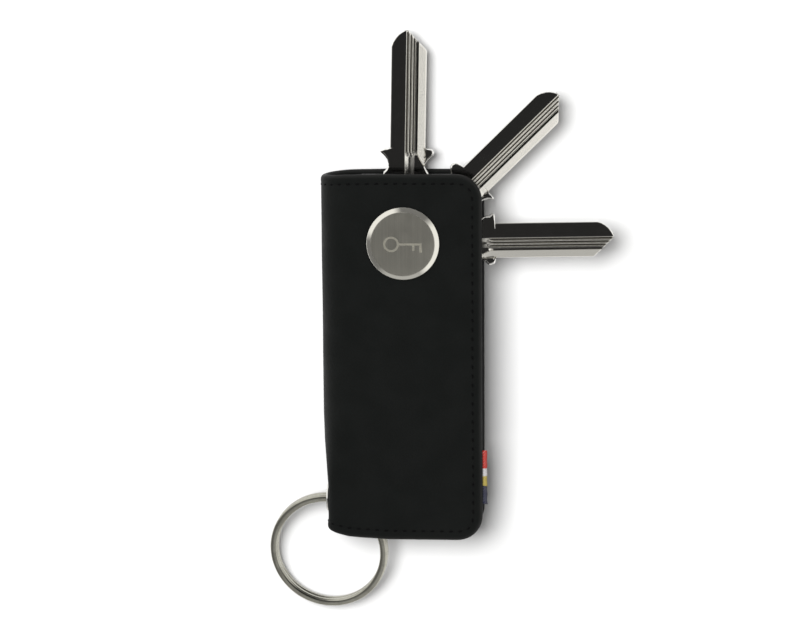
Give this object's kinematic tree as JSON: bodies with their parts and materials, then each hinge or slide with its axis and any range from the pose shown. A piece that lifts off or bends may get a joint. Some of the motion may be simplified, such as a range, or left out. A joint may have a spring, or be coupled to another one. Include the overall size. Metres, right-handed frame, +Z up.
{
  "type": "key organiser",
  "caption": "Folded leather key organiser: keys pivot on a post between two covers, a domed button clamps the stack and a split ring hangs from an eyelet in the spine.",
  "frame": {"origin": "centre of the back cover's flat outer face", "axes": "+X across the case away from its spine, +Y along it towards the end where the keys come out, +Z up through the front cover and its button"},
  "size_m": [0.0858, 0.1449, 0.016],
  "materials": {
    "leather": "matte black leather with a fine pebble grain",
    "lining": "thin black split leather, dull",
    "board": "grey stiffening board",
    "post_steel": "turned steel",
    "button_steel": "circular-brushed face with a polished bevel",
    "nylon": "natural nylon",
    "spring_steel": "bright spring steel",
    "key_nickel": "polished nickel with milled grooves",
    "ring_nickel": "nickel-plated spring wire",
    "eyelet_nickel": "bright nickel",
    "ribbon": "woven ribbon in red, white, yellow and navy bands"
  },
  "bodies": {
    "case": {"outer_cover": "leather", "front_lining": "lining", "back_lining": "lining", "front_stiffener": "board", "back_stiffener": "board", "post_barrel": "post_steel", "washer_1": "nylon", "washer_2": "nylon", "washer_3": "nylon", "washer_4": "nylon", "wave_washer": "spring_steel", "ring_eyelet": "eyelet_nickel", "eyelet_washer": "eyelet_nickel", "woven_tab": "ribbon"},
    "button": {"button_cap": "button_steel", "button_screw": "post_steel"},
    "first_key": {"key_1": "key_nickel"},
    "second_key": {"key_2": "key_nickel"},
    "third_key": {"key_3": "key_nickel"},
    "ring": {"split_ring": "ring_nickel"}
  },
  "joints": [
    {"name": "first_key_swing", "type": "hinge", "parent": "case", "child": "first_key", "pos_m": [0.0007, 0.0288, 0.00405], "axis": [0, 0, 1], "range_deg": [-178.8, 29.2]},
    {"name": "second_key_swing", "type": "hinge", "parent": "case", "child": "second_key", "pos_m": [0.0007, 0.0288, 0.0068], "axis": [0, 0, 1], "range_deg": [-134.5, 73.5]},
    {"name": "third_key_swing", "type": "hinge", "parent": "case", "child": "third_key", "pos_m": [0.0007, 0.0288, 0.00955], "axis": [0, 0, 1], "range_deg": [-91, 117]},
    {"name": "button_unscrew", "type": "slide", "parent": "case", "child": "button", "axis": [0, 0, 1], "range_m": [0, 0.012]},
    {"name": "ring_swing", "type": "hinge", "parent": "case", "child": "ring", "pos_m": [-0.01825, -0.0364, 0.0062], "axis": [-0.0879, -0.1255, 0.9882], "range_deg": [-22, 36]}
  ]
}
